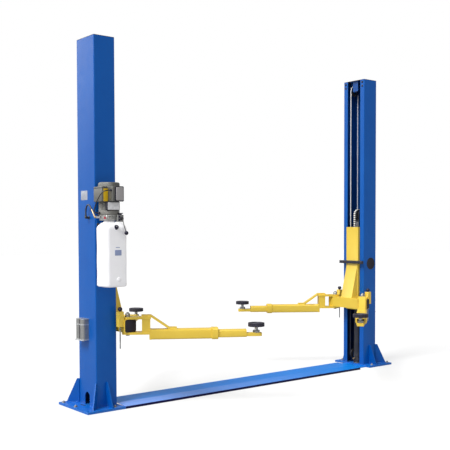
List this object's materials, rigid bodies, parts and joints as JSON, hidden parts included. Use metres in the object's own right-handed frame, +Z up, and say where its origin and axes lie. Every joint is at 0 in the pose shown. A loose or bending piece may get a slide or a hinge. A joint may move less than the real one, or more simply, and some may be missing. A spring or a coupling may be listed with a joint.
{
  "type": "two post car lift",
  "caption": "Two post car lift: channel posts on base plates, chain driven carriages with swinging telescopic arms and screw pads, a side power unit and a floor cover.",
  "frame": {"origin": "on the floor, midway between the two posts", "axes": "+X from the post with the power unit to the other post, +Y away from the side that the power unit hangs on, +Z up"},
  "size_m": [3.425, 1.7846, 2.824],
  "materials": {
    "post_blue": "gloss enamel",
    "arm_yellow": "gloss enamel",
    "cap_black": "matte",
    "cylinder_black": "satin",
    "cable_steel": "stranded",
    "pulley_grey": "machined",
    "zinc_plate": "zinc plated",
    "motor_grey": "cast",
    "block_metal": "machined",
    "tank_white": "satin",
    "hose_rubber": "satin",
    "slider_plastic": "matte",
    "black_rubber": "matte",
    "chain_steel": "oiled"
  },
  "bodies": {
    "root": {"left_column": "post_blue", "right_column": "post_blue", "left_base_plate": "post_blue", "right_base_plate": "post_blue", "column_caps": "cap_black", "access_plugs": "cap_black", "gussets": "post_blue", "cylinders": "cylinder_black", "pulley_brackets": "post_blue", "equalizer_cables": "cable_steel", "lock_covers": "zinc_plate", "cable_pulleys": "pulley_grey", "floor_cover": "post_blue", "motor_bracket": "post_blue", "motor": "motor_grey", "terminal_box": "motor_grey", "capacitor_box": "motor_grey", "pump_block": "block_metal", "oil_tank": "tank_white", "filler_cap": "cap_black", "hose_fittings": "zinc_plate", "cable_glands": "cap_black", "hydraulic_hose": "hose_rubber", "motor_cable": "hose_rubber"},
    "release_lever": {"release_lever": "zinc_plate"},
    "left_carriage": {"left_carriage": "arm_yellow", "left_slider_blocks": "slider_plastic", "left_tube_end_caps": "black_rubber", "left_guard_bar": "black_rubber", "left_arm_locks": "zinc_plate", "left_pivot_pins": "zinc_plate"},
    "left_rod": {"left_cylinder_rod": "zinc_plate", "left_lift_chain": "chain_steel"},
    "right_carriage": {"right_carriage": "arm_yellow", "right_slider_blocks": "slider_plastic", "right_tube_end_caps": "black_rubber", "right_guard_bar": "black_rubber", "right_arm_locks": "zinc_plate", "right_pivot_pins": "zinc_plate"},
    "right_rod": {"right_cylinder_rod": "zinc_plate", "right_lift_chain": "chain_steel"},
    "left_front_arm": {"left_front_arm": "arm_yellow"},
    "left_front_inner_tube": {"left_front_inner_tube": "arm_yellow"},
    "left_front_pad_bar": {"left_front_pad_bar": "arm_yellow"},
    "left_front_lifting_pad": {"left_front_lifting_pad": "black_rubber"},
    "left_back_arm": {"left_back_arm": "arm_yellow"},
    "left_back_inner_tube": {"left_back_inner_tube": "arm_yellow"},
    "left_back_pad_bar": {"left_back_pad_bar": "arm_yellow"},
    "left_back_lifting_pad": {"left_back_lifting_pad": "black_rubber"},
    "right_front_arm": {"right_front_arm": "arm_yellow"},
    "right_front_inner_tube": {"right_front_inner_tube": "arm_yellow"},
    "right_front_pad_bar": {"right_front_pad_bar": "arm_yellow"},
    "right_front_lifting_pad": {"right_front_lifting_pad": "black_rubber"},
    "right_back_arm": {"right_back_arm": "arm_yellow"},
    "right_back_inner_tube": {"right_back_inner_tube": "arm_yellow"},
    "right_back_pad_bar": {"right_back_pad_bar": "arm_yellow"},
    "right_back_lifting_pad": {"right_back_lifting_pad": "black_rubber"}
  },
  "joints": [
    {"name": "left_carriage_lift", "type": "slide", "parent": "root", "child": "left_carriage", "axis": [0, 0, 1], "range_m": [-0.43, 1.265]},
    {"name": "left_rod_lift", "type": "slide", "parent": "root", "child": "left_rod", "axis": [0, 0, 1], "range_m": [-0.215, 0.6325]},
    {"name": "right_carriage_lift", "type": "slide", "parent": "root", "child": "right_carriage", "axis": [0, 0, 1], "range_m": [-0.43, 1.265]},
    {"name": "right_rod_lift", "type": "slide", "parent": "root", "child": "right_rod", "axis": [0, 0, 1], "range_m": [-0.215, 0.6325]},
    {"name": "left_front_swing", "type": "hinge", "parent": "left_carriage", "child": "left_front_arm", "pos_m": [-1.3355, -0.183, 0.6295], "axis": [0, 0, 1], "range_deg": [-57.4, 32.6]},
    {"name": "left_front_extend", "type": "slide", "parent": "left_front_arm", "child": "left_front_inner_tube", "axis": [0.8425, -0.5388, 0], "range_m": [-0.187, 0.1]},
    {"name": "left_front_bar_extend", "type": "slide", "parent": "left_front_inner_tube", "child": "left_front_pad_bar", "axis": [0.8425, -0.5388, 0], "range_m": [-0.045, 0.09]},
    {"name": "left_front_pad_screw", "type": "slide", "parent": "left_front_pad_bar", "child": "left_front_lifting_pad", "axis": [0, 0, 1], "range_m": [-0.015, 0.04]},
    {"name": "left_back_swing", "type": "hinge", "parent": "left_carriage", "child": "left_back_arm", "pos_m": [-1.3355, 0.183, 0.6295], "axis": [0, 0, -1], "range_deg": [-47.9, 42.1]},
    {"name": "left_back_extend", "type": "slide", "parent": "left_back_arm", "child": "left_back_inner_tube", "axis": [0.742, 0.6704, 0], "range_m": [-0.151, 0.136]},
    {"name": "left_back_bar_extend", "type": "slide", "parent": "left_back_inner_tube", "child": "left_back_pad_bar", "axis": [0.742, 0.6704, 0], "range_m": [-0.045, 0.09]},
    {"name": "left_back_pad_screw", "type": "slide", "parent": "left_back_pad_bar", "child": "left_back_lifting_pad", "axis": [0, 0, 1], "range_m": [-0.015, 0.04]},
    {"name": "right_front_swing", "type": "hinge", "parent": "right_carriage", "child": "right_front_arm", "pos_m": [1.3355, -0.183, 0.6295], "axis": [0, 0, -1], "range_deg": [-49.2, 40.8]},
    {"name": "right_front_extend", "type": "slide", "parent": "right_front_arm", "child": "right_front_inner_tube", "axis": [-0.757, -0.6534, 0], "range_m": [-0.176, 0.111]},
    {"name": "right_front_bar_extend", "type": "slide", "parent": "right_front_inner_tube", "child": "right_front_pad_bar", "axis": [-0.757, -0.6534, 0], "range_m": [-0.045, 0.09]},
    {"name": "right_front_pad_screw", "type": "slide", "parent": "right_front_pad_bar", "child": "right_front_lifting_pad", "axis": [0, 0, 1], "range_m": [-0.015, 0.04]},
    {"name": "right_back_swing", "type": "hinge", "parent": "right_carriage", "child": "right_back_arm", "pos_m": [1.3355, 0.183, 0.6295], "axis": [0, 0, 1], "range_deg": [-55.2, 34.8]},
    {"name": "right_back_extend", "type": "slide", "parent": "right_back_arm", "child": "right_back_inner_tube", "axis": [-0.8211, 0.5707, 0], "range_m": [-0.131, 0.156]},
    {"name": "right_back_bar_extend", "type": "slide", "parent": "right_back_inner_tube", "child": "right_back_pad_bar", "axis": [-0.8211, 0.5707, 0], "range_m": [-0.045, 0.09]},
    {"name": "right_back_pad_screw", "type": "slide", "parent": "right_back_pad_bar", "child": "right_back_lifting_pad", "axis": [0, 0, 1], "range_m": [-0.015, 0.04]},
    {"name": "lever_pull", "type": "hinge", "parent": "root", "child": "release_lever", "pos_m": [-1.4605, -0.322, 1.448], "axis": [-1, 0, 0], "range_deg": [0, 25], "stiffness_Nm_per_rad": 0.3, "springref_deg": -17.19}
  ],
  "couplings": [
    {"joint": "right_carriage_lift", "follows": "left_carriage_lift", "ratio": 1},
    {"joint": "left_rod_lift", "follows": "left_carriage_lift", "ratio": 0.5},
    {"joint": "right_rod_lift", "follows": "left_carriage_lift", "ratio": 0.5}
  ]
}
